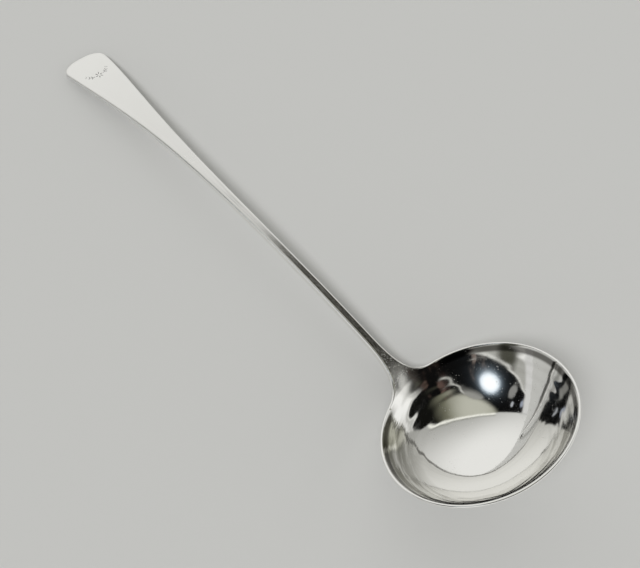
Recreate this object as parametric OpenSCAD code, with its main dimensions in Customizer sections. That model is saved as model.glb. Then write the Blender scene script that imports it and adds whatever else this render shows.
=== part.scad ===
// Soup ladle in one piece of metal: a broad oval bowl with a rounded rim, and a long
// handle that rises from it, thins to a stem and flares out to a wide rounded end.
// The form is one sheet with a front and a back face, closed all round by one rounded
// edge. It is worked out with the bowl's rim level and the handle towards +X, and is
// then tilted until the bowl and the handle's end both lie on the ground.

/* [Bowl] */
// Width of the bowl across the handle's line, over the rim
bowl_w = 104; // [80:1:125]
// Length of the bowl along the handle's line, over the rim
bowl_l = 89.4; // [72:0.2:110]
// Depth of the bowl inside, from the top of the rim
bowl_depth = 32; // [22:0.5:36]
// How full the bowl's sides are, where 2 is a plain parabola
bowl_fullness = 2.2; // [2:0.05:2.6]
// Thickness of the metal at the bottom of the bowl
bowl_wall = 1.2; // [0.8:0.1:2]
// Thickness of the rounded rim
rim_t = 1.5; // [1:0.1:2.4]

/* [Handle] */
// How far the handle's end lies from the middle of the bowl, level with the rim
handle_reach = 241; // [190:1:270]
// How high the handle's end lies above the level of the rim
handle_rise = 160.5; // [130:0.5:180]
// Slope of the handle at its end, in degrees
end_slope = 24.5; // [15:0.5:35]
// How far the handle keeps the slope of the bowl's side
low_bend = 36; // [20:1:60]
// How far the handle keeps the slope of its end
high_bend = 63; // [40:1:85]

/* [Stem] */
// Width of the stem at its narrowest
stem_w = 5.2; // [4.4:0.1:9]
// Thickness of the stem
stem_t = 3.6; // [2.6:0.1:5]
// Width of the stem where it joins the bowl, without the fillets
neck_w = 7.9; // [6:0.1:12]
// Thickness of the neck
neck_t = 4.2; // [3:0.1:6]
// Length over which the neck narrows
neck_l = 20; // [12:1:35]
// Rounding of the stem's long edges
edge_round = 1.3; // [0.8:0.1:1.6]

/* [Handle end] */
// Width of the handle's end
end_w = 26.3; // [18:0.1:34]
// Thickness of the handle's end
end_t = 1.8; // [1.2:0.1:3]
// Length of the flare from the end to the stem
flare_l = 61.4; // [45:0.2:75]
// How late the flare narrows
flare_power = 1.9; // [1.5:0.1:2.5]
// Length of the rounding at the end
end_round = 9; // [5:0.5:14]
// How square the end's corners are, where 2 is an ellipse
end_square = 2.4; // [2:0.1:4]

/* [Join of handle and bowl] */
// Half of the width over both fillets, along the rim
fillet_w = 19.3; // [12:0.1:24]
// Length of the fillets up the stem
fillet_l = 47.5; // [30:0.5:60]
// Half width of the drop on the back, where the stem runs out on the bowl
drop_w = 6; // [4.5:0.1:8]
// Length of the drop below the rim
drop_l = 18; // [10:0.5:26]

/* [Hidden] */

// Counts of facets: round the bowl, from its middle to its rim, across half of the
// handle, along the fillets, the stem and the end, and over the rounded edge
n_round = 84;
n_rings = 14;
n_half = 8;
n_fillet = 14;
n_stem = 30;
n_end = 8;
n_edge = 6;

// The rim's rounding takes up the end of the wall, so the sheet ends short of the outline
rim_r = rim_t / 2;
half_l = bowl_l / 2 - rim_r;
half_w = bowl_w / 2 - rim_r;
half_mean = (half_l + half_w) / 2;
drop = bowl_depth + bowl_wall / 2 - rim_r;
rim_power = 8;
round_square = 2;
edge_square = 2.4;
thin_power = 2;
thin_share = 1.5;
neck_share = 3;
rim_pull = 0.53;
stem_pull = 0.64;

function smooth(t) = let (c = max(0, min(1, t))) c * c * (3 - 2 * c);
function unit(v) = v / norm(v);
function soft_pow(v, k) = sign(v) * pow(abs(v), k);

// The bowl: rho runs from 0 in the middle to 1 at the rim, phi is the angle from the handle
function side_slope(rho) = atan(drop * bowl_fullness * pow(rho, bowl_fullness - 1) / half_mean);
function bowl_middle(rho, phi) =
    [half_l * rho * cos(phi), half_w * rho * sin(phi), -rim_r - drop * (1 - pow(rho, bowl_fullness))];
function bowl_normal(rho, phi) =
    let (slope = side_slope(rho)) [-sin(slope) * cos(phi), -sin(slope) * sin(phi), cos(slope)];
function bowl_half(rho) = (bowl_wall + (rim_t - bowl_wall) * pow(rho, rim_power)) / 2;

// The drop: the stem's extra thickness runs out on the back of the bowl
function drop_across(y) = exp(-pow(y / drop_w, 2));
function drop_along(rho) = smooth(1 - (1 - rho) * half_l / drop_l);
function bowl_drop(rho, phi) =
    cos(phi) < 0 ? 0 : (neck_t - rim_t) * drop_along(rho) * drop_across(half_w * rho * sin(phi));

// The handle's line, seen from the side: one curve from the rim (u = 0) to the end (u = 1)
rim_slope = side_slope(1);
line_start = [half_l, -rim_r];
line_end = [handle_reach, handle_rise];
line_low = line_start + low_bend * [cos(rim_slope), sin(rim_slope)];
line_high = line_end - high_bend * [cos(end_slope), sin(end_slope)];
function line_at(u) =
    pow(1 - u, 3) * line_start + 3 * pow(1 - u, 2) * u * line_low
    + 3 * (1 - u) * u * u * line_high + pow(u, 3) * line_end;
function line_dir(u) =
    unit(pow(1 - u, 2) * (line_low - line_start) + 2 * (1 - u) * u * (line_high - line_low)
    + u * u * (line_end - line_high));
line_steps = 60;
line_l = [for (i = [1 : line_steps]) norm(line_at(i / line_steps) - line_at((i - 1) / line_steps))]
    * [for (i = [1 : line_steps]) 1];

// Width and thickness along the handle, with the flare at one end and the neck at the other
function flare(u, length, power) = exp(-pow(line_l * (1 - u) / length, power));
function handle_w(u) =
    stem_w + (end_w - stem_w) * flare(u, flare_l, flare_power) + (neck_w - stem_w) * exp(-u * line_l / neck_l);
function handle_t(u) =
    stem_t + (end_t - stem_t) * flare(u, flare_l * thin_share, thin_power)
    + (neck_t - stem_t) * (1 - smooth(u * line_l / (neck_l * neck_share)));

// The sheet's edge on the +Y side: the fillet up to fillet_u, then the stem and the end
fillet_u = fillet_l / line_l;
end_u = end_round / line_l;
root_angle = asin(fillet_w / half_w);
function edge_t(u) = rim_t + (handle_t(u) - rim_t) * smooth(u / fillet_u);
function edge_reach(u) = min(edge_round, edge_t(u) / 2);
function end_share(u) =
    pow(1 - pow(max(0, 1 - (1 - u) / end_u), end_square), 1 / end_square);
function stem_edge(u) =
    let (at = line_at(u)) [at[0], (handle_w(u) / 2 - edge_reach(u)) * end_share(u), at[1]];
function fillet_edge(u) =
    let (
        t = u / fillet_u,
        from = bowl_middle(1, root_angle),
        to = stem_edge(fillet_u),
        along_rim = unit([half_l * sin(root_angle), -half_w * cos(root_angle), 0]),
        dir = line_dir(fillet_u),
        near = from + along_rim * (from[1] - to[1]) * rim_pull,
        far = to - [dir[0], 0, dir[1]] * fillet_l * stem_pull
    )
    pow(1 - t, 3) * from + 3 * pow(1 - t, 2) * t * near + 3 * (1 - t) * t * t * far + pow(t, 3) * to;
function handle_edge(u) = u < fillet_u ? fillet_edge(u) : stem_edge(u);

// Where the rows across the handle lie, from just above the rim to just before the end
handle_rows = [
    for (i = [1 : n_fillet]) fillet_u * i / n_fillet,
    for (i = [1 : n_stem]) fillet_u + (1 - end_u - fillet_u) * i / n_stem,
    for (i = [n_end - 1 : -1 : 1]) 1 - end_u * (1 - pow(cos(90 * i / n_end), 2 / end_square))
];

// A row across the handle bends as the rim does, until the edge draws level with the middle
function row_middle(u, v) =
    let (
        at = line_at(u),
        edge = handle_edge(u),
        bend = (1 - cos(root_angle * v)) / (1 - cos(root_angle)),
        across = sin(root_angle * v) / sin(root_angle)
    )
    [at[0] + (edge[0] - at[0]) * bend, edge[1] * across, at[1] + (edge[2] - at[1]) * bend];
function row_normal(u, v) =
    let (dir = line_dir(u), turn = root_angle * v * (1 - smooth(u / fillet_u)))
    [-dir[1] * cos(turn), -dir[1] * sin(turn), dir[0]];
function row_t(u, y) = edge_t(u) + (handle_t(u) - edge_t(u)) * drop_across(y);

// Each place on the sheet: its middle, its normal, the metal before and behind it, and how
// square its edge is, from the round rim to the flatter edge of the stem
function row_square(u) = round_square + (edge_square - round_square) * smooth(u / fillet_u);
function bowl_place(rho, phi) =
    let (half = bowl_half(rho))
    [bowl_middle(rho, phi), bowl_normal(rho, phi), half, half + bowl_drop(rho, phi), round_square];
function row_place(u, v) =
    let (at = row_middle(u, v), total = row_t(u, at[1]))
    [at, unit(row_normal(u, v)), rim_r, total - rim_r, row_square(u)];
function front(p) = p[0] + p[1] * p[2];
function back(p) = p[0] - p[1] * p[3];

// Columns round the bowl: the first ones lie below the handle, the rest go round the far side
n_cols = 2 * n_half + 1;
function column_angle(j) =
    j < n_cols ? root_angle * (j - n_half) / n_half
    : root_angle + (j - n_cols + 1) * (360 - 2 * root_angle) / (n_round - n_cols + 1);
places = concat(
    [bowl_place(0, 0)],
    [for (i = [1 : n_rings]) for (j = [0 : n_round - 1]) bowl_place(i / n_rings, column_angle(j))],
    [for (u = handle_rows) for (c = [0 : n_cols - 1]) row_place(u, (c - n_half) / n_half)],
    [row_place(1, 0)]
);
n_rows = len(handle_rows);
n_places = len(places);
function ring_at(i, j) = i == 0 ? 0 : 1 + (i - 1) * n_round + j % n_round;
function row_at(k, c) =
    k == 0 ? ring_at(n_rings, c)
    : k > n_rows ? n_places - 1
    : 1 + n_rings * n_round + (k - 1) * n_cols + c;

// The outline runs round the rim, up one side of the handle, over its end and down the other
outline = concat(
    [for (j = [n_cols - 1 : n_round]) ring_at(n_rings, j)],
    [for (k = [1 : n_rows + 1]) row_at(k, 0)],
    [for (k = [n_rows : -1 : 1]) row_at(k, n_cols - 1)]
);
n_outline = len(outline);
function outline_place(m) = places[outline[(m + n_outline) % n_outline]];
function outward(m) =
    unit(cross(outline_place(m + 1)[0] - outline_place(m - 1)[0], outline_place(m)[1]));
function edge_point(m, e) =
    let (
        p = outline_place(m),
        half = (p[2] + p[3]) / 2,
        turn = 180 * e / n_edge,
        power = 2 / p[4]
    )
    p[0] + p[1] * (p[2] - half + half * soft_pow(cos(turn), power))
    + outward(m) * min(edge_round, half) * soft_pow(sin(turn), power);

points = concat(
    [for (p = places) front(p)],
    [for (p = places) back(p)],
    [for (m = [0 : n_outline - 1]) for (e = [1 : n_edge - 1]) edge_point(m, e)]
);
function edge_at(m, e) =
    let (w = m % n_outline)
    e == 0 ? outline[w] : e == n_edge ? n_places + outline[w] : 2 * n_places + w * (n_edge - 1) + e - 1;

// Faces: the front sheet, the same sheet turned round for the back, and the edge
function halves(a, b, c, d) = [[a, b, c], [a, c, d]];
sheet_faces = concat(
    [for (j = [0 : n_round - 1]) [0, ring_at(1, j + 1), ring_at(1, j)]],
    [for (i = [1 : n_rings - 1]) for (j = [0 : n_round - 1])
        each halves(ring_at(i, j), ring_at(i, j + 1), ring_at(i + 1, j + 1), ring_at(i + 1, j))],
    [for (k = [0 : n_rows - 1]) for (c = [0 : n_cols - 2])
        each halves(row_at(k, c), row_at(k, c + 1), row_at(k + 1, c + 1), row_at(k + 1, c))],
    [for (c = [0 : n_cols - 2]) [row_at(n_rows, c), row_at(n_rows, c + 1), n_places - 1]]
);
faces = concat(
    sheet_faces,
    [for (f = sheet_faces) [f[2] + n_places, f[1] + n_places, f[0] + n_places]],
    [for (m = [0 : n_outline - 1]) for (e = [0 : n_edge - 1])
        each halves(edge_at(m, e), edge_at(m + 1, e), edge_at(m + 1, e + 1), edge_at(m, e + 1))]
);

// At rest the ladle lies on the back of its bowl and on its handle's end: the ground is the
// line, seen from the side, that touches both from below
n_rest = 30;
end_part = 0.3;
bowl_under = [for (i = [0 : n_rest]) back(bowl_place(i / n_rest, 0))];
end_under = [for (i = [0 : n_rest]) back(row_place(1 - end_part * i / n_rest, 0))];
rest_tilt = min([for (e = end_under) max([for (b = bowl_under) atan2(e[2] - b[2], e[0] - b[0])])]);
function lie(p) =
    [p[0] * cos(rest_tilt) + p[2] * sin(rest_tilt), p[1], p[2] * cos(rest_tilt) - p[0] * sin(rest_tilt)];
lying = [for (p = points) lie(p)];
along = [for (p = lying) p[0]];
up = [for (p = lying) p[2]];
origin = [(min(along) + max(along)) / 2, 0, min(up)];

module ladle() {
    color("gainsboro")
        polyhedron(points = [for (p = lying) p - origin], faces = faces, convexity = 6);
}

ladle();
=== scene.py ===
import math
import bpy
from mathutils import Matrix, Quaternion, Vector


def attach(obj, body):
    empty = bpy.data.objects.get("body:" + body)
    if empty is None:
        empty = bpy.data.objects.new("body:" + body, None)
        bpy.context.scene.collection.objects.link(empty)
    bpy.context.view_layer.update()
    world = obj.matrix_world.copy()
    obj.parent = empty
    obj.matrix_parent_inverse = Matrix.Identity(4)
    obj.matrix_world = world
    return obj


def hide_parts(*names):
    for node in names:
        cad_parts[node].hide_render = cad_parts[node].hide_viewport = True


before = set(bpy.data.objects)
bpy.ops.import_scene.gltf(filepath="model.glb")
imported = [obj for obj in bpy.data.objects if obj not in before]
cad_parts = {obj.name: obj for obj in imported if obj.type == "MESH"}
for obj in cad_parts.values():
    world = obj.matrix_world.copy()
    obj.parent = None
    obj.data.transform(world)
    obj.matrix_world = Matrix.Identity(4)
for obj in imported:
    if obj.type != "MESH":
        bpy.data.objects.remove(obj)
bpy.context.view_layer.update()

scene = bpy.context.scene
degree = math.pi / 180


class Flow:  # one output of a node: sums written with it lay down the nodes
    def __init__(self, tree, socket=None):
        self.tree = tree
        self.socket = socket

    def node(self, kind, settings=None, inputs=None, out=0):  # any node, its settings first
        made = self.tree.nodes.new(kind)
        for name, value in (settings or {}).items():
            setattr(made, name, value)
        for name, value in (inputs or {}).items():
            if isinstance(value, Flow):
                self.tree.links.new(value.socket, made.inputs[name])
            else:
                made.inputs[name].default_value = value
        return Flow(self.tree, made.outputs[out]) if made.outputs else made

    def other(self, name):  # another output of the same node
        return Flow(self.tree, self.socket.node.outputs[name])

    def sum(self, operation, *terms):  # vector maths as soon as one term is a vector
        whole = [isinstance(t, tuple) or isinstance(t, Flow) and t.socket.type == "VECTOR" for t in terms]
        if not any(whole):
            return self.node("ShaderNodeMath", {"operation": operation}, dict(enumerate(terms)))
        if operation == "MULTIPLY" and not all(whole):
            arrow, factor = terms if whole[0] else terms[::-1]
            return self.node("ShaderNodeVectorMath", {"operation": "SCALE"}, {0: arrow, "Scale": factor})
        terms = [(t, t, t) if isinstance(t, (int, float)) else t for t in terms]
        return self.node("ShaderNodeVectorMath", {"operation": operation}, dict(enumerate(terms)))

    def __add__(self, b): return self.sum("ADD", self, b)
    def __radd__(self, b): return self.sum("ADD", b, self)
    def __sub__(self, b): return self.sum("SUBTRACT", self, b)
    def __rsub__(self, b): return self.sum("SUBTRACT", b, self)
    def __mul__(self, b): return self.sum("MULTIPLY", self, b)
    def __rmul__(self, b): return self.sum("MULTIPLY", b, self)
    def __truediv__(self, b): return self.sum("DIVIDE", self, b)
    def __rtruediv__(self, b): return self.sum("DIVIDE", b, self)
    def __pow__(self, b): return self.sum("POWER", self, b)
    def __neg__(self): return self * -1
    def __abs__(self): return self.sum("ABSOLUTE", self)
    def __lt__(self, b): return self.sum("LESS_THAN", self, b)
    def __gt__(self, b): return self.sum("GREATER_THAN", self, b)

    def sin(self): return self.sum("SINE", self)
    def cos(self): return self.sum("COSINE", self)
    def exp(self): return self.sum("EXPONENT", self)
    def sign(self): return self.sum("SIGN", self)
    def floor(self): return self.sum("FLOOR", self)
    def asin(self): return self.sum("ARCSINE", self)
    def atan(self): return self.sum("ARCTANGENT", self)
    def low(self, b): return self.sum("MINIMUM", self, b)
    def high(self, b): return self.sum("MAXIMUM", self, b)
    def clamp(self): return self.node("ShaderNodeClamp", {}, {0: self})
    def cross(self, b): return self.sum("CROSS_PRODUCT", self, b)
    def unit(self): return self.node("ShaderNodeVectorMath", {"operation": "NORMALIZE"}, {0: self})

    def dot(self, b):
        return self.node("ShaderNodeVectorMath", {"operation": "DOT_PRODUCT"}, {0: self, 1: b}, "Value")

    def parts(self):
        x = self.node("ShaderNodeSeparateXYZ", {}, {0: self})
        return x, x.other("Y"), x.other("Z")

    def arrow(self, x, y, z): return self.node("ShaderNodeCombineXYZ", {}, {0: x, 1: y, 2: z})
    def number(self, value): return self.node("ShaderNodeMath", {"operation": "ADD"}, {0: value, 1: 0})

    def ease(self, start, end):  # from 0 at start to 1 at end, with soft ends
        return self.node("ShaderNodeMapRange", {"interpolation_type": "SMOOTHSTEP"},
                         {"Value": self, "From Min": start, "From Max": end})

    def tint(self, under, over):  # a colour, by a share from 0 to 1
        under, over = [(*c, 1) if isinstance(c, tuple) else c for c in (under, over)]
        return self.node("ShaderNodeMix", {"data_type": "RGBA"}, {0: self, 6: under, 7: over}, 2)


# camera
cameraPlace = {  # metres, degrees and millimetres
    "eye": (-0.073086, 0.173889, 0.356758),
    "target": (-0.023683, -0.00802, 0),
    "roll": 31.527,
    "lens": 42.19,
    "sensor": 36,
    "near": 0.01,
}


def placeCamera(name, place):
    made = bpy.data.objects.new(name, bpy.data.cameras.new(name))
    scene.collection.objects.link(made)
    eye, target = Vector(place["eye"]), Vector(place["target"])
    look = (target - eye).to_track_quat("-Z", "Y")
    made.rotation_mode = "QUATERNION"
    made.rotation_quaternion = look @ Quaternion((0, 0, 1), place["roll"] * degree)
    made.location = eye
    made.data.lens = place["lens"]
    made.data.sensor_width = place["sensor"]
    made.data.clip_start = place["near"]
    scene.camera = made


placeCamera("photo_camera", cameraPlace)
print("camera placed")

# the ladle's form: one sheet with a front, a back and a rounded edge
ladleForm = {
    "sizes": {  # the inputs of its node tree: metres, degrees for the slopes, and shares
        "bowlWidth": 0.104,
        "bowlLength": 0.0894,
        "bowlDepth": 0.032,
        "bowlFullness": 2.2,
        "bowlWall": 0.0012,
        "rimThick": 0.0015,
        "handleReach": 0.241,
        "handleRise": 0.1605,
        "endSlope": 24.5,
        "lowBend": 0.036,
        "highBend": 0.063,
        "stemWidth": 0.0052,
        "stemThick": 0.0036,
        "neckWidth": 0.0079,
        "neckThick": 0.0042,
        "neckLength": 0.020,
        "edgeRound": 0.0013,
        "endWidth": 0.0263,
        "endThick": 0.0018,
        "flareLength": 0.0614,
        "flarePower": 1.9,
        "endRound": 0.009,
        "endSquare": 2.4,
        "edgeSquare": 2.4,
        "filletWidth": 0.0193,
        "filletLength": 0.0475,
        "rimPull": 0.53,
        "stemPull": 0.64,
        "dropWidth": 0.006,
        "dropLength": 0.018,
        "lineLength": 0.255913,
        "restTilt": 40.3677,
        "snug": 0.9995,
        "dentSize": 0.016,
        "dentHeight": 0.00012,
        "ringHeight": 0.000045,
        "hollowAlong": 0.0447,
        "hollowSide": -0.0025,
        "hollowReach": 0.0085,
        "hollowDepth": 0.0005,
        "sprayPlace": 0.9200,
        "twigStart": 0.0026,
        "twigReach": 0.0040,
        "twigLift": 0.0024,
        "petalLength": 0.0018,
        "leafLength": 0.0016,
        "strokeDepth": 0.0002,
    },
    "counts": {  # rows and columns of the two grids, and how often something repeats
        "inside": 90, "lip": 12, "outside": 60, "across": 48, "round": 250,
        "fillet": 40, "stem": 64, "end": 24, "rings": 11, "petals": 6, "leaves": 3,
        "strokeSides": 6, "leafSteps": 8, "twigSteps": 48,
    },
    "thinReach": 1.5,  # in flares: how far from the end the metal starts to thin
    "thinPower": 2,
    "neckReach": 3,  # in neck lengths: how far the neck's extra thickness goes
    "rimPower": 8,  # how late the bowl's wall thickens towards the rim
    "edgeStep": 0.02,  # in rows: how far back the edge's direction is taken from
    "weld": 0.00001,
    "patches": {"scale": 40, "range": (0.35, 0.65)},  # a range is where a mask starts and where it is full
    "ringDrift": 5,
    "ringRange": (0.55, 0.85),
    "unevenRange": (0.99, 0.92),
    "frontRange": (0.02, 0),
    "petalGap": 0.3,
    "leafBulge": 0.2,
    "leafTip": 0.1,
    "leafSpread": 42,
    "leafShrink": (1.1, 0.4),
    "twigTaper": 1.1,
    "twigGap": (0.06, 0.02),
    "twigClear": 3,
    "strokeSink": 0.2,
    "sharpAngle": 30,
    "cutRange": (0.1, 0.9),
}


def ladleTree(form, material):
    sizes, counts = form["sizes"], form["counts"]
    tree = bpy.data.node_groups.new("ladle_form", "GeometryNodeTree")
    tree.interface.new_socket("Geometry", in_out="OUTPUT", socket_type="NodeSocketGeometry")
    for name in sizes:
        tree.interface.new_socket(name, in_out="INPUT", socket_type="NodeSocketFloat")
    flow = Flow(tree)
    size = flow.node("NodeGroupInput")
    s = {name: size.other(name) for name in sizes}
    arrow = flow.arrow

    rimR = s["rimThick"] / 2
    halfL = s["bowlLength"] / 2 - rimR
    halfW = s["bowlWidth"] / 2 - rimR
    halfMean = (halfL + halfW) / 2
    drop = s["bowlDepth"] + s["bowlWall"] / 2 - rimR
    root = (s["filletWidth"] / halfW).asin()
    filletU = s["filletLength"] / s["lineLength"]
    endU = s["endRound"] / s["lineLength"]

    def smooth(t):
        c = t.clamp()
        return c * c * (3 - 2 * c)

    def bezier(t, a, b, c, d):
        r = 1 - t
        return (r * r * r) * a + (3 * r * r * t) * b + (3 * r * t * t) * c + (t * t * t) * d

    def softPower(value, power):
        return value.sign() * abs(value) ** power

    # the bowl: rho runs from 0 in its middle to 1 at the rim, phi goes round from the handle
    def sideSlope(rho):
        return (drop * s["bowlFullness"] * rho ** (s["bowlFullness"] - 1) / halfMean).atan()

    def bowlMiddle(rho, phi):
        return arrow(halfL * rho * phi.cos(), halfW * rho * phi.sin(),
                     -rimR - drop * (1 - rho ** s["bowlFullness"]))

    def bowlNormal(rho, phi):
        slope = sideSlope(rho)
        return arrow(-slope.sin() * phi.cos(), -slope.sin() * phi.sin(), slope.cos())

    def dropAcross(y):
        return (-(y / s["dropWidth"]) * (y / s["dropWidth"])).exp()

    def bowlDrop(rho, phi):
        below = smooth(1 - (1 - rho) * halfL / s["dropLength"])
        across = dropAcross(halfW * rho * phi.sin())
        return (phi.cos() > 0) * (s["neckThick"] - s["rimThick"]) * below * across

    # the handle's line, from the rim at 0 to the end at 1
    one = flow.number(1)
    rimSlope = sideSlope(one)
    endSlope = s["endSlope"] * degree
    lineStart = arrow(halfL, 0, -rimR)
    lineEnd = arrow(s["handleReach"], 0, s["handleRise"])
    lineLow = lineStart + arrow(rimSlope.cos(), 0, rimSlope.sin()) * s["lowBend"]
    lineHigh = lineEnd - arrow(endSlope.cos(), 0, endSlope.sin()) * s["highBend"]

    def lineAt(u):
        return bezier(u, lineStart, lineLow, lineHigh, lineEnd)

    def lineStep(u):
        r = 1 - u
        return 3 * ((r * r) * (lineLow - lineStart) + (2 * r * u) * (lineHigh - lineLow)
                    + (u * u) * (lineEnd - lineHigh))

    def lineDir(u):
        return lineStep(u).unit()

    def flare(u, length, power):
        return (-((s["lineLength"] * (1 - u) / length).high(0) ** power)).exp()

    def handleWidth(u):
        wider = (s["endWidth"] - s["stemWidth"]) * flare(u, s["flareLength"], s["flarePower"])
        return (s["stemWidth"] + wider
                + (s["neckWidth"] - s["stemWidth"]) * (-u * s["lineLength"] / s["neckLength"]).exp())

    def handleThick(u):
        thin = flare(u, s["flareLength"] * form["thinReach"], form["thinPower"])
        neck = 1 - smooth(u * s["lineLength"] / (s["neckLength"] * form["neckReach"]))
        return (s["stemThick"] + (s["endThick"] - s["stemThick"]) * thin
                + (s["neckThick"] - s["stemThick"]) * neck)

    def edgeThick(u):
        return s["rimThick"] + (handleThick(u) - s["rimThick"]) * smooth(u / filletU)

    def placeOnLine(row):  # how far along the line, and what the rounded end leaves of the width
        turn = (1 - ((row - counts["fillet"] - counts["stem"]) / counts["end"]).clamp()) * (math.pi / 2)
        u = (filletU * (row / counts["fillet"]).clamp()
             + (1 - endU - filletU) * ((row - counts["fillet"]) / counts["stem"]).clamp()
             + endU * turn.cos().high(0) ** (2 / s["endSquare"]))
        return u, turn.sin().high(0) ** (2 / s["endSquare"])

    def stemEdge(u, share):
        reach = s["edgeRound"].low(edgeThick(u) / 2)
        return lineAt(u) + arrow(0, (handleWidth(u) / 2 - reach) * share, 0)

    filletTo = stemEdge(filletU, 1)
    filletFrom = bowlMiddle(one, root)
    alongRim = arrow(halfL * root.sin(), -halfW * root.cos(), 0).unit()
    filletNear = filletFrom + alongRim * ((filletFrom.parts()[1] - filletTo.parts()[1]) * s["rimPull"])
    filletFar = filletTo - lineDir(filletU) * (s["filletLength"] * s["stemPull"])

    def handleEdge(row):
        u, share = placeOnLine(row)
        t = (row / counts["fillet"]).low(1)
        inFillet = row < counts["fillet"]
        fillet = bezier(t, filletFrom, filletNear, filletFar, filletTo)
        return fillet * inFillet + stemEdge(u, share) * (1 - inFillet)

    def edgePoint(middle, normal, before, behind, turn, outward, square):
        half = (before + behind) / 2
        over = half * softPower(turn.cos(), 2 / square)
        beside = s["edgeRound"].low(half) * turn.sin().high(0) ** (2 / square)
        return middle + normal * (before - half + over) + outward * beside

    def grid(rows, columns):
        made = flow.node("GeometryNodeMeshGrid", {}, {
            "Size X": 1, "Size Y": 1, "Vertices X": rows + 1, "Vertices Y": columns + 1})
        x, y, z = flow.node("GeometryNodeInputPosition").parts()
        return made, (x + 0.5) * rows, (y + 0.5) * columns

    def store(mesh, name, value, domain="POINT", where=True):
        return flow.node("GeometryNodeStoreNamedAttribute", {"data_type": "FLOAT", "domain": domain},
                         {"Geometry": mesh, "Name": name, "Value": value, "Selection": where})

    def named(name):
        return flow.node("GeometryNodeInputNamedAttribute", {"data_type": "FLOAT"}, {"Name": name})

    # bowl: from the middle of the inside over the lip to the middle of the outside
    nIn, nLip, nOut = counts["inside"], counts["lip"], counts["outside"]
    nAcross, nRound = counts["across"], counts["round"]
    bowl, k, j = grid(nIn + nLip + nOut, nRound)
    rho = (k / nIn).clamp() - ((k - nIn - nLip) / nOut).clamp()
    turn = ((k - nIn) / nLip).clamp() * math.pi
    phi = (2 * (j / nAcross).clamp() - 1) * root + (2 * math.pi - 2 * root) * (
        (j - nAcross) / (nRound - nAcross)).clamp()
    normal = bowlNormal(rho, phi)
    before = (s["bowlWall"] + (s["rimThick"] - s["bowlWall"]) * rho ** form["rimPower"]) / 2
    outward = arrow(-halfL * phi.sin(), halfW * phi.cos(), 0).cross(normal).unit()
    below = before + bowlDrop(rho, phi)
    bowlPoint = edgePoint(bowlMiddle(rho, phi), normal, before, below, turn, outward, 2)
    underHandle = (k > nIn) * (k < nIn + nLip) * (j < nAcross)
    bowl = store(store(store(bowl, "along", 0), "rho", rho), "behind", turn / math.pi)
    bowl = store(bowl, "side", 0)
    bowl = flow.node("GeometryNodeDeleteGeometry", {"domain": "FACE"}, {
        "Geometry": bowl, "Selection": underHandle})
    bowl = flow.node("GeometryNodeSetPosition", {}, {"Geometry": bowl, "Position": bowlPoint})

    # handle: rows from the rim to the end, each a loop over the front, one edge, the back, the other edge
    nRows = counts["fillet"] + counts["stem"] + counts["end"]
    handle, row, k = grid(nRows, 2 * nAcross + 2 * nLip)
    side = 2 * (k / nAcross).clamp() - 2 * ((k - nAcross - nLip) / nAcross).clamp() - 1
    turn = (((k - nAcross) / nLip).clamp() - ((k - 2 * nAcross - nLip) / nLip).clamp()) * math.pi
    u, share = placeOnLine(row)
    at, edge = lineAt(u), handleEdge(row)
    bend = (1 - (root * side).cos()) / (1 - root.cos())
    across = (root * side).sin() / root.sin()
    middle = at + (edge - at) * arrow(bend, across, bend)
    dirX, dirY, dirZ = lineDir(u).parts()

    def rowNormal(v):
        lean = root * v * (1 - smooth(u / filletU))
        return arrow(-dirZ * lean.cos(), -dirZ * lean.sin(), dirX)

    thick = edgeThick(u) + (handleThick(u) - edgeThick(u)) * dropAcross(middle.parts()[1])
    outward = (handleEdge(row - form["edgeStep"]) - edge).cross(rowNormal(one))
    outward = outward.unit() * arrow(1, side.sign(), 1)
    square = 2 + (s["edgeSquare"] - 2) * smooth(u / filletU)
    handlePoint = edgePoint(middle, rowNormal(side), rimR, thick - rimR, turn, outward, square)
    handle = store(store(store(handle, "along", u), "rho", 1), "behind", turn / math.pi)
    handle = store(handle, "side", abs(side))
    handle = flow.node("GeometryNodeSetPosition", {}, {"Geometry": handle, "Position": handlePoint})

    # both welded into one skin
    join = flow.node("GeometryNodeJoinGeometry")
    for part in (handle, bowl):
        tree.links.new(part.socket, join.socket.node.inputs[0])
    whole = flow.node("GeometryNodeMergeByDistance", {}, {"Geometry": join, "Distance": form["weld"]})

    # the inside of the bowl is a little uneven, with faint rings below the rim, and is pressed in
    # slightly where handle and bowl meet
    rho, behind = named("rho"), named("behind")
    dents = flow.node("ShaderNodeTexNoise", {}, {"Scale": 1 / s["dentSize"], "Detail": 1})
    patchy = flow.node("ShaderNodeTexNoise", {}, {"Scale": form["patches"]["scale"], "Detail": 1})
    rings = (rho * (2 * math.pi * counts["rings"]) + (dents - 0.5) * form["ringDrift"]).sin()
    rings = rings * rho.ease(*form["ringRange"]) * patchy.ease(*form["patches"]["range"])
    uneven = (dents - 0.5) * s["dentHeight"] + rings * s["ringHeight"]
    hollow = flow.node("GeometryNodeInputPosition") - arrow(s["hollowAlong"], s["hollowSide"], 0)
    hollow = hollow / s["hollowReach"]
    hollow = (1 - hollow.dot(hollow)).high(0) ** 2 * s["hollowDepth"]
    uneven = (uneven * rho.ease(*form["unevenRange"]) - hollow) * behind.ease(*form["frontRange"])
    whole = flow.node("GeometryNodeSetPosition", {}, {
        "Geometry": whole, "Offset": flow.node("GeometryNodeInputNormal") * uneven})

    # engraved on the handle's end: a rosette between two leafy twigs, first laid out flat
    def stroke(curve, depth):
        graver = flow.node("GeometryNodeCurvePrimitiveCircle", {}, {
            "Resolution": counts["strokeSides"], "Radius": 1})
        return flow.node("GeometryNodeCurveToMesh", {}, {
            "Curve": curve, "Profile Curve": graver, "Scale": depth, "Fill Caps": True})

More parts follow.
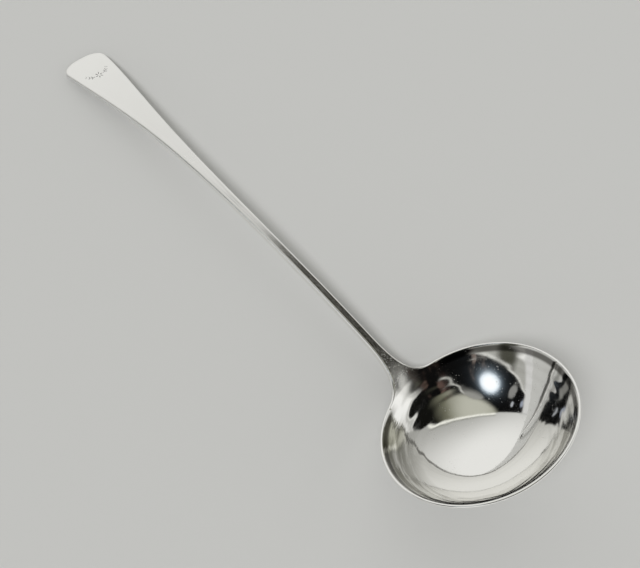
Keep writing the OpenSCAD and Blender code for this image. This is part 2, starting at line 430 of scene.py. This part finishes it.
    def repeat(count, place, turn, scale, shape, flip=0):
        points = flow.node("GeometryNodePoints", {}, {"Count": count, "Position": place})
        points = flow.node("GeometryNodeInstanceOnPoints", {}, {
            "Points": points, "Instance": shape, "Rotation": arrow(flip, 0, turn), "Scale": scale})
        return flow.node("GeometryNodeRealizeInstances", {}, {"Geometry": points})

    def twigAt(t, side):
        return arrow(side * (s["twigStart"] + s["twigReach"] * t), s["twigLift"] * t * t, 0)

    t = flow.node("GeometryNodeSplineParameter")
    tip = form["leafTip"]
    leaf = flow.node("GeometryNodeCurveQuadraticBezier", {}, {
        "Resolution": counts["leafSteps"],
        "Start": (0, 0, 0), "Middle": (0.5, form["leafBulge"], 0), "End": (1, 0, 0)})
    thick = tip + (1 - tip) * (t * math.pi).sin().high(0)
    leaf = stroke(leaf, thick * s["strokeDepth"] / s["leafLength"])
    index = flow.node("GeometryNodeInputIndex")
    turn = index * (2 * math.pi / counts["petals"])
    petals = arrow(turn.cos(), turn.sin(), 0) * (s["petalLength"] * form["petalGap"])
    petals = repeat(counts["petals"], petals, turn, s["petalLength"], leaf)
    right = index.sum("MODULO", index, 2) * 2 - 1
    upper = (index / 2).floor().sum("MODULO", (index / 2).floor(), 2) * 2 - 1
    t = ((index / 4).floor() + 1) / counts["leaves"]
    turn = (2 * s["twigLift"] * t / s["twigReach"]).atan() + upper * (form["leafSpread"] * degree)
    first, less = form["leafShrink"]
    leaves = repeat(4 * counts["leaves"], twigAt(t, right), turn * right + (1 - right) * (math.pi / 2),
                    s["leafLength"] * (first - less * t), leaf, (1 - right * upper) * (math.pi / 2))
    twig = flow.node("GeometryNodeCurvePrimitiveLine", {}, {"Start": (-1, 0, 0), "End": (1, 0, 0)})
    twig = flow.node("GeometryNodeResampleCurve", {}, {"Curve": twig, "Count": counts["twigSteps"]})
    p = flow.node("GeometryNodeSplineParameter") * 2 - 1
    t, side = abs(p), p.sign()
    lifted = t.ease(*form["twigGap"]) * s["strokeDepth"] * form["twigClear"]  # clear of the metal between
    twig = flow.node("GeometryNodeSetPosition", {}, {
        "Geometry": twig, "Position": twigAt(t, side) + arrow(0, 0, lifted)})
    twig = stroke(twig, (form["twigTaper"] - t) * s["strokeDepth"])
    spray = flow.node("GeometryNodeJoinGeometry")
    for part in (petals, leaves, twig):
        tree.links.new(part.socket, spray.socket.node.inputs[0])

    # then bent onto the front of the handle and cut out of it
    x, y, z = flow.node("GeometryNodeInputPosition").parts()
    step = lineStep(s["sprayPlace"])
    u = s["sprayPlace"] + y / step.dot(step) ** 0.5
    dirX, dirY, dirZ = lineDir(u).parts()
    above = rimR + z - s["strokeDepth"] * form["strokeSink"]
    spray = flow.node("GeometryNodeSetPosition", {}, {
        "Geometry": spray, "Position": lineAt(u) - arrow(0, x, 0) + arrow(-dirZ, 0, dirX) * above})
    spray = flow.node("GeometryNodeMeshBoolean", {"operation": "UNION", "solver": "MANIFOLD"}, {
        "Mesh 2": store(spray, "cut", 1, "FACE")})
    uncut = whole
    whole = flow.node("GeometryNodeMeshBoolean", {"operation": "DIFFERENCE", "solver": "MANIFOLD"}, {
        "Mesh 1": store(whole, "cut", 0, "FACE"), "Mesh 2": spray})
    for name in ("along", "rho", "behind", "side"):  # the grooves' new points take these from the face
        nearest = flow.node("GeometryNodeSampleNearestSurface", {"data_type": "FLOAT"}, {
            "Mesh": uncut, "Value": named(name)})
        whole = store(whole, name, nearest, "POINT", named("cut") > 0)

    # laid down at rest, with the origin on the ground below the middle
    whole = flow.node("GeometryNodeTransform", {}, {
        "Geometry": whole, "Rotation": arrow(0, s["restTilt"] * degree, 0),
        "Scale": arrow(s["snug"], s["snug"], s["snug"])})
    box = flow.node("GeometryNodeBoundBox", {}, {"Geometry": whole})
    low, high = box.other("Min"), box.other("Max")
    shift = (low + high) * -0.5 * arrow(1, 1, 0) - low * arrow(0, 0, 1)
    whole = flow.node("GeometryNodeTransform", {}, {"Geometry": whole, "Translation": shift})
    whole = flow.node("GeometryNodeSetShadeSmooth", {}, {"Geometry": whole})
    cut, (least, most) = named("cut"), form["cutRange"]
    sharp = flow.node("GeometryNodeInputMeshEdgeAngle") > form["sharpAngle"] * degree
    sharp = sharp.high((cut > least) * (cut < most))
    whole = flow.node("GeometryNodeSetShadeSmooth", {"domain": "EDGE"}, {
        "Geometry": whole, "Selection": sharp, "Shade Smooth": False})
    whole = flow.node("GeometryNodeRealizeInstances", {}, {"Geometry": whole})
    whole = flow.node("GeometryNodeSetMaterial", {}, {"Geometry": whole, "Material": material})
    flow.node("NodeGroupOutput", {}, {0: whole})
    return tree


def buildFromTree(name, tree, values):
    made = bpy.data.objects.new(name, bpy.data.meshes.new(name + "_start"))
    scene.collection.objects.link(made)
    modifier = made.modifiers.new("form", "NODES")
    modifier.node_group = tree
    for item in tree.interface.items_tree:
        if item.in_out == "INPUT" and item.name in values:
            modifier[item.identifier] = values[item.name]
    graph = bpy.context.evaluated_depsgraph_get()
    mesh = bpy.data.meshes.new_from_object(
        made.evaluated_get(graph), preserve_all_data_layers=True, depsgraph=graph)
    made.modifiers.clear()
    made.data = mesh
    mesh.name = name
    return made


# silver
silverLook = {
    "silver": (0.92, 0.915, 0.895),
    # dark: tarnish on the stem's face with painted dark reflection there, and painted dark lines along its
    # edges and inside the rim
    "tarnishAndShadeColour": (0.05, 0.045, 0.037),
    "engraved": (0.06, 0.057, 0.052),
    # painted highlight: pale specks on the neck, and the place where the neck meets the bowl
    "paintedHighlight": (0.97, 0.96, 0.93),
    # painted dark reflection on the bowl's wall towards the rim
    "wallShadeColour": (0.33, 0.325, 0.29),
    "rough": {"bowl": 0.045, "stem": 0.16, "end": 0.34, "wornAndShaded": 0.42, "joint": 0.20},
    "handle": (0.0, 0.06),  # pairs like this one are where a mask starts and where it is full
    "front": (0.04, 0.0),
    "satin": (0.5, 0.8),
    "ragged": {"scale": 260, "detail": 3},
    "wornAndShaded": {"start": (0.02, 0.12), "end": (0.58, 0.34), "ragged": 0.02, "grooves": 0.6},
    "grooves": {"along": 7, "across": 5, "detail": 3},
    "grit": {"scale": 1300, "range": (0.36, 0.64), "share": 0.20},
    "neck": {"middle": (-0.09326, 0, 0.00582), "range": (0.034, 0.012), "ragged": 0.004},
    # a painted highlight, with satin roughness, where the neck meets the bowl
    "joint": {"range": (0.013, 0.005), "ragged": 0.0015, "share": 0.7},
    "specks": {"range": (0.44, 0.26), "patches": 700, "patchRange": (0.38, 0.55),
               "share": 0.9, "dull": 0.6},
    # a painted dark line along the edges of the stem's face
    "edgeShadeLine": {"side": (0.66, 0.86), "start": (0.0, 0.03), "end": (0.40, 0.30), "share": 0.75},
    "bowl": {"middle": (-0.126264, 0, 0.034858), "tilt": 40.37, "range": (0.012, 0.026)},
    "streaks": {"round": 1.3, "out": 17, "detail": 4, "rough": 0.55},
    # the side where the painted dark reflection and the streaked relief are strongest
    "shadeAndStreakSide": {"towards": (-0.6, 0.8, 0), "range": (-0.7, 0.5)},  # seen from above the bowl's mouth
    # painted dark reflection on the bowl's wall towards the rim, in streaks, with a little roughness
    "wallShade": {"range": (0.60, 0.92), "streaks": (0.42, 0.60), "least": 0.15, "rough": 0.05},
    # a painted dark line just inside the rim
    "rimShadeLine": {"start": (0.945, 0.965), "end": (1.0, 0.985), "share": 0.8},
    "flecks": {"scale": 620, "range": (0.20, 0.10), "patches": 90, "patchRange": (0.50, 0.62),
               "rough": 0.4},
    "scratches": [
        {"scale": 160, "stretch": (1, 12, 12), "range": (0.52, 0.75), "rough": 0.035},
        {"scale": 200, "stretch": (9, 1, 4), "range": (0.55, 0.75), "rough": 0.035},
    ],
    "smears": {"scale": 90, "detail": 4, "range": (0.4, 0.8), "rough": 0.03},
    "streakRelief": {"range": (0.66, 0.92), "height": 2.2e-4},
    "ripple": {"scale": 420, "height": 6e-6},
    "grain": {"scale": 2600, "height": 1.6e-6, "least": 0.4},
    "pits": {"scale": 1150, "range": (0.50, 0.20), "height": 3e-5, "neck": 0.8, "wornAndShaded": 0.25},
}


def silverMaterial(look):
    made = bpy.data.materials.new("silver")
    made.use_nodes = True
    tree = made.node_tree
    tree.nodes.clear()
    flow = Flow(tree)
    place = flow.node("ShaderNodeTexCoord", out="Object")

    def stored(name):
        return flow.node("ShaderNodeAttribute", {"attribute_name": name}, out="Fac")

    def noise(scale, detail=2, stretch=(1, 1, 1)):
        return flow.node("ShaderNodeTexNoise", {}, {
            "Vector": place * stretch, "Scale": scale, "Detail": detail})

    def dots(scale):
        return flow.node("ShaderNodeTexVoronoi", {}, {"Vector": place, "Scale": scale})

    along, rho, side = stored("along"), stored("rho"), stored("side")
    onHandle = along.ease(*look["handle"])
    front = stored("behind").ease(*look["front"])
    ragged = (noise(look["ragged"]["scale"], look["ragged"]["detail"]) - 0.5) * 2

    # the stem's face is darker in streaks, darkest at the bowl: tarnish with painted dark reflection, and a
    # painted dark line at its edges
    wornAndShaded, grooves, grit = look["wornAndShaded"], look["grooves"], look["grit"]
    streaky = flow.node("ShaderNodeTexNoise", {}, {
        "Vector": flow.arrow(along * grooves["along"], side * grooves["across"], 0),
        "Scale": 1, "Detail": grooves["detail"]})
    reach = along + ragged * wornAndShaded["ragged"] + (streaky - 0.5) * wornAndShaded["grooves"]
    # tarnish with painted dark reflection on the stem's face, darkest at the bowl
    tarnishAndShade = front * along.ease(*wornAndShaded["start"]) * reach.ease(*wornAndShaded["end"])
    gritty = noise(grit["scale"]).ease(*grit["range"])
    line = look["edgeShadeLine"]
    # painted dark line along the edges of the stem's face
    edgeShadeLine = side.ease(*line["side"]) * front * along.ease(*line["start"]) * along.ease(*line["end"])

    # the neck is pitted, with pale specks painted as glints, and has a painted highlight and a satin finish
    # where it meets the bowl
    neck, joint, specks = look["neck"], look["joint"], look["specks"]
    fromNeck = place - neck["middle"]
    fromNeck = fromNeck.dot(fromNeck) ** 0.5
    # painted highlight and a satin finish where the neck meets the bowl
    jointSatinAndHighlight = front * (fromNeck + ragged * joint["ragged"]).ease(*joint["range"])
    pitted = front * onHandle * (fromNeck + ragged * neck["ragged"]).ease(*neck["range"])
    pits = dots(look["pits"]["scale"])
    # pale specks painted as glints on the pitted neck
    points = pits.ease(*specks["range"]) * noise(specks["patches"], 1).ease(*specks["patchRange"])

    # the bowl's wall gets painted dark reflection in streaks round it towards the rim, and streaked relief,
    # most of all on one side, a painted dark line just inside the rim, and flecks
    bowl, streaks, wallShade, rim = look["bowl"], look["streaks"], look["wallShade"], look["rimShadeLine"]
    tilt = bowl["tilt"] * degree
    fromBowl = place - bowl["middle"]
    across = fromBowl.dot((math.cos(tilt), 0, -math.sin(tilt)))
    turned = flow.arrow(across, fromBowl.parts()[1], 0).unit() * (streaks["round"], streaks["round"], 0)
    turned = turned + flow.arrow(0, 0, rho * streaks["out"])
    streaked = flow.node("ShaderNodeTexNoise", {}, {
        "Vector": turned, "Scale": 1, "Detail": streaks["detail"], "Roughness": streaks["rough"]})
    inBowl = front * (1 - onHandle) * fromNeck.ease(*bowl["range"])
    shadeAndStreakShare = turned.dot(look["shadeAndStreakSide"]["towards"]).ease(*look["shadeAndStreakSide"]["range"])
    least = wallShade["least"]
    # painted dark reflection on the bowl's wall towards the rim, in streaks
    wallShadeAndHaze = inBowl * rho.ease(*wallShade["range"]) * (least + (1 - least) * streaked.ease(*wallShade["streaks"]))
    wallShadeAndHaze = wallShadeAndHaze * (least + (1 - least) * shadeAndStreakShare)
    # painted dark line just inside the rim
    rimShadeLine = inBowl * rho.ease(*rim["start"]) * rho.ease(*rim["end"])
    flecks = look["flecks"]
    flecked = dots(flecks["scale"]).ease(*flecks["range"])
    flecked = inBowl * flecked * noise(flecks["patches"]).ease(*flecks["patchRange"])

    # painted dark reflection on the bowl's wall
    colour = wallShadeAndHaze.tint(look["silver"], look["wallShadeColour"])
    # painted dark line just inside the rim
    colour = (rimShadeLine * rim["share"]).tint(colour, look["tarnishAndShadeColour"])
    # tarnish and painted dark reflection on the stem's face
    colour = (tarnishAndShade * (1 - grit["share"] + grit["share"] * gritty)).tint(colour, look["tarnishAndShadeColour"])
    # pale specks painted as glints on the neck
    colour = (pitted * points * specks["share"]).tint(colour, look["paintedHighlight"])
    # painted dark line along the face's edges
    colour = (edgeShadeLine * line["share"]).tint(colour, look["tarnishAndShadeColour"])
    # painted highlight where the neck meets the bowl
    colour = (jointSatinAndHighlight * joint["share"]).tint(colour, look["paintedHighlight"])
    colour = stored("cut").tint(colour, look["engraved"])

    # bright in the bowl, satin towards the handle's end, with fine scratches along and across
    rough, smears = look["rough"], look["smears"]
    satin = along.ease(*look["satin"])
    smeared = noise(smears["scale"], smears["detail"]).ease(*smears["range"])
    dull = rough["bowl"] + onHandle * (rough["stem"] - rough["bowl"])
    dull = dull + satin * (rough["end"] - rough["stem"])
    for marks in look["scratches"]:
        scratched = noise(marks["scale"], 3, marks["stretch"]).ease(*marks["range"])
        dull = dull + scratched * marks["rough"]
    dull = dull + smeared * smears["rough"]
    spotted = pitted * (1 - specks["dull"] + specks["dull"] * points)
    dull = dull + tarnishAndShade.high(spotted) * (rough["wornAndShaded"] - rough["stem"]) + wallShadeAndHaze * wallShade["rough"]
    dull = (dull + flecked * flecks["rough"]).high(jointSatinAndHighlight * rough["joint"])

    # relief, in metres
    streak, grain, pit = look["streakRelief"], look["grain"], look["pits"]
    relief = inBowl * rho.ease(*streak["range"]) * shadeAndStreakShare * streaked * streak["height"]
    relief = relief + noise(look["ripple"]["scale"]) * look["ripple"]["height"]
    relief = relief + noise(grain["scale"]) * grain["height"] * (grain["least"] + satin)
    where = pitted * pit["neck"] + tarnishAndShade * pit["wornAndShaded"]
    relief = relief - pits.ease(*pit["range"]) * pit["height"] * where
    bump = flow.node("ShaderNodeBump", {}, {"Strength": 1, "Distance": 1, "Height": relief})
    surface = flow.node("ShaderNodeBsdfPrincipled", {}, {
        "Base Color": colour, "Metallic": 1, "Roughness": dull, "Normal": bump})
    flow.node("ShaderNodeOutputMaterial", {}, {"Surface": surface})
    return made


silver = silverMaterial(silverLook)
ladle = buildFromTree("ladle_body", ladleTree(ladleForm, silver), ladleForm["sizes"])
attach(ladle, "root")
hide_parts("ladle")
print("ladle built:", len(ladle.data.polygons), "faces")

# floor
floorLook = {"colour": (0.62, 0.62, 0.61), "rough": 0.8, "shine": 0.1, "reach": 12}


def layFloor(look):
    reach = look["reach"]
    mesh = bpy.data.meshes.new("floor")
    corners = [(-reach, -reach, 0), (reach, -reach, 0), (reach, reach, 0), (-reach, reach, 0)]
    mesh.from_pydata(corners, [], [(0, 1, 2, 3)])
    made = bpy.data.objects.new("floor", mesh)
    scene.collection.objects.link(made)
    paper = bpy.data.materials.new("floor_paper")
    paper.use_nodes = True
    shader = paper.node_tree.nodes["Principled BSDF"]
    shader.inputs["Base Color"].default_value = (*look["colour"], 1)
    shader.inputs["Roughness"].default_value = look["rough"]
    shader.inputs["Specular IOR Level"].default_value = look["shine"]
    mesh.materials.append(paper)


layFloor(floorLook)
print("floor laid")

# studio: patches of the sky as the silver mirrors them, and a sun where the studio's lamp hangs
studioLook = {  # each patch by its direction and size in degrees
    "room": (0.004, 0.004, 0.004),
    "brown": [
        {"azimuth": -164, "elevation": 57, "radius": 7, "soft": 7, "colour": (0.11, 0.075, 0.06)},
        {"azimuth": -175, "elevation": 68, "radius": 5, "soft": 5, "colour": (0.11, 0.07, 0.06)},
        {"azimuth": 103, "elevation": 53, "radius": 5, "soft": 7, "colour": (0.20, 0.16, 0.14)},
    ],
    "brownPatches": {"scale": 5, "detail": 5, "rough": 0.62, "range": (0.42, 0.62)},
    "ceiling": {"azimuth": -45.3, "elevation": 51.1, "radius": 52.3, "soft": 3,
                "colour": (0.18, 0.18, 0.13)},
    "ceilingLight": {"azimuth": 60, "elevation": 72, "radius": 20, "soft": 18,
                     "colour": (0.50, 0.50, 0.43)},
    "ceilingDark": {"azimuth": 60, "elevation": 76, "radius": 37, "soft": 12,
                    "colour": (0.006, 0.006, 0.005)},
    "wedge": {"azimuth": 96, "elevation": 71, "long": 15, "short": 3.6, "turn": 26,
              "edge": (1.3, 0.7), "past": 4, "colour": (0.30, 0.30, 0.28)},
    "cable": {"azimuth": -122.3, "elevation": 77.8, "radius": 22.6, "soft": 0.5, "half": 0.8,
              "colour": (0.5, 0.5, 0.47)},
    "cablePart": {"azimuth": 158, "elevation": 69, "radius": 11, "soft": 4},
    "lamp": {"azimuth": 75.6, "elevation": 49.6, "long": 11.5, "short": 5.8, "turn": 45,
             "edge": (1.7, 0), "colour": (1.15, 1.18, 1.2)},
    "lampGlow": {"colour": (0.62, 0.76, 0.90), "near": (5, -1.9), "far": (0.12, -0.45)},
    "spots": [
        {"azimuth": 50, "elevation": 23.5, "long": 4.5, "short": 6, "turn": 0,
         "colour": (0.25, 0.25, 0.24)},
        {"azimuth": 38.9, "elevation": 24, "long": 2.4, "short": 2, "turn": 0,
         "colour": (0.40, 0.42, 0.45)},
        {"azimuth": 35, "elevation": 10.5, "long": 3, "short": 2.6, "turn": 0,
         "colour": (0.30, 0.33, 0.40)},
    ],
    "spotEdge": (1.4, 0.5),
    "opening": {"azimuth": -16.7, "elevation": 55.5, "radius": 65.5, "soft": 0.7,
                "colour": (0.40, 0.40, 0.375)},
    "openingEdge": {"wide": 1.2, "colour": (0.75, 0.75, 0.72)},
    "corner": {"azimuth": 77, "elevation": 25, "radius": 10, "soft": 6, "colour": (0.07, 0.07, 0.055)},
    "wall": {"azimuth": -16.7, "elevation": 55.5, "radius": 76, "soft": 2.5,
             "colour": (0.92, 0.92, 0.90)},
    "wallNearer": {"azimuth": -120, "range": (0, 0.4), "grow": -7.5},  # on the side away from the handle
    "loft": {"azimuth": 165, "range": (0.39, 0.45), "rise": (38, 42)},
    "reflector": {"azimuth": -38.1, "elevation": 21.2, "radius": 63.3, "soft": 0.8,
                  "colour": (0.37, 0.37, 0.35)},
    "reflectorGlow": {"azimuth": -30, "elevation": 12, "radius": 50, "soft": 31,
                      "colour": (0.83, 0.83, 0.81)},
    "strip": {"azimuth": -35, "elevation": 76, "radius": 40, "soft": 2, "colour": (0.90, 0.90, 0.83)},
    "stripShade": {"outer": -2, "inner": -3.3, "share": 0.6, "colour": (0.20, 0.20, 0.17)},
    "horizon": {"elevation": 8, "soft": 2, "colour": (0.64, 0.64, 0.63)},
    "key": {"azimuth": 75.6, "elevation": 49.6, "angle": 20, "power": 1.5},
}


def skyArrow(azimuth, elevation):
    a, e = azimuth * degree, elevation * degree
    return math.cos(a) * math.cos(e), math.sin(a) * math.cos(e), math.sin(e)


def lightStudio(look):
    world = bpy.data.worlds.new("studio")
    scene.world = world
    world.use_nodes = True
    tree = world.node_tree
    tree.nodes.clear()
    flow = Flow(tree)
    sky = flow.node("ShaderNodeTexCoord", out="Generated").unit()

    def within(spot, grow=0):  # 1 inside a round patch of the sky, seen from the ladle
        edge, soft = (spot["radius"] + grow) * degree, spot["soft"] * degree
        middle = skyArrow(spot["azimuth"], spot["elevation"])
        return sky.dot(middle).ease(math.cos(edge + soft), math.cos(max(0, edge - soft)))

    def oval(spot):  # from 0 in the middle of an oval patch to 1 at its edge, and on outside it
        side = sky.dot(skyArrow(spot["azimuth"] + 90, 0))
        above = sky.dot(skyArrow(spot["azimuth"], spot["elevation"] + 90))
        c, d = math.cos(spot["turn"] * degree), math.sin(spot["turn"] * degree)
        far = (side * c + above * d) / math.sin(spot["long"] * degree)
        wide = (above * c - side * d) / math.sin(spot["short"] * degree)
        opposite = sky.dot(skyArrow(spot["azimuth"], spot["elevation"])) < 0
        return far * far + wide * wide + opposite * 99  # the patch isn't repeated across the sky

    # the dark room, with a ceiling that has a lighter and a darker place
    light = flow.arrow(*look["room"])
    blotches = look["brownPatches"]
    blotchy = flow.node("ShaderNodeTexNoise", {}, {
        "Vector": sky, "Scale": blotches["scale"], "Detail": blotches["detail"],
        "Roughness": blotches["rough"]}).ease(*blotches["range"])
    for spot in look["brown"]:
        light = (within(spot) * blotchy).tint(light, spot["colour"])
    ceiling = within(look["ceilingLight"]).tint(look["ceiling"]["colour"], look["ceilingLight"]["colour"])
    ceiling = (1 - within(look["ceilingDark"])).tint(ceiling, look["ceilingDark"]["colour"])
    light = within(look["ceiling"]).tint(light, ceiling)
    wedge = oval(look["wedge"]).ease(*look["wedge"]["edge"])
    wedge = wedge * within(look["ceiling"], look["wedge"]["past"])
    light = wedge.tint(light, look["wedge"]["colour"])
    half = look["cable"]["half"]
    cable = (within(look["cable"], half) - within(look["cable"], -half)) * within(look["cablePart"])
    light = cable.tint(light, look["cable"]["colour"])

    # the lamp with its glow, and three small windows
    spread = oval(look["lamp"])
    (near, nearFall), (far, farFall) = look["lampGlow"]["near"], look["lampGlow"]["far"]
    glow = (spread * nearFall).exp() * near + (spread * farFall).exp() * far
    light = glow.clamp().tint(light, look["lampGlow"]["colour"])
    light = spread.ease(*look["lamp"]["edge"]).tint(light, look["lamp"]["colour"])
    for spot in look["spots"]:
        light = oval(spot).ease(*look["spotEdge"]).tint(light, spot["colour"])
    room = light

    # the room is seen through a round opening in a pale wall, and once more above its far side
    opening, wall, nearer = look["opening"], look["wall"], look["wallNearer"]
    beyond = within(look["corner"]).tint(opening["colour"], look["corner"]["colour"])
    light = within(opening).tint(beyond, room)
    edge = within(opening, look["openingEdge"]["wide"]) - within(opening)
    light = edge.tint(light, look["openingEdge"]["colour"])
    farSide = sky.dot(skyArrow(nearer["azimuth"], 0)).ease(*nearer["range"])
    light = ((1 - within(wall, nearer["grow"])) * farSide).tint(light, wall["colour"])
    light = ((1 - within(wall)) * (1 - farSide)).tint(light, wall["colour"])
    up = sky.parts()[2]
    low, high = look["loft"]["rise"]
    loft = sky.dot(skyArrow(look["loft"]["azimuth"], 0)).ease(*look["loft"]["range"])
    loft = loft * up.ease(math.sin(low * degree), math.sin(high * degree))
    light = loft.tint(light, room)

    # a big pale reflector with a bright strip along its upper edge, and the horizon beside it
    reflector, strip, shade = look["reflector"], look["strip"], look["stripShade"]
    paper = within(look["reflectorGlow"]).tint(reflector["colour"], look["reflectorGlow"]["colour"])
    fold, outer, inner = within(strip), within(reflector, shade["outer"]), within(reflector, shade["inner"])
    paper = (fold * (1 - outer)).tint(paper, strip["colour"])
    paper = (fold * (outer - inner) * shade["share"]).tint(paper, shade["colour"])
    light = within(reflector).tint(light, paper)
    horizon = look["horizon"]
    top, foot = horizon["elevation"] + horizon["soft"], horizon["elevation"] - horizon["soft"]
    band = up.ease(math.sin(top * degree), math.sin(foot * degree)) * (1 - within(reflector))
    light = band.tint(light, horizon["colour"])
    shine = flow.node("ShaderNodeBackground", {}, {"Color": light, "Strength": 1})
    flow.node("ShaderNodeOutputWorld", {}, {"Surface": shine})


def hangLamp(name, lamp):
    made = bpy.data.objects.new(name, bpy.data.lights.new(name, "SUN"))
    scene.collection.objects.link(made)
    out = Vector(skyArrow(lamp["azimuth"], lamp["elevation"]))
    made.location = out
    made.rotation_euler = (-out).to_track_quat("-Z", "Y").to_euler()
    made.data.angle = lamp["angle"] * degree
    made.data.energy = lamp["power"]
    made.visible_glossy = False  # the patch in the sky is what the silver mirrors


lightStudio(studioLook)
hangLamp("key_lamp", studioLook["key"])
print("studio lit")

scene.view_settings.view_transform = "Standard"
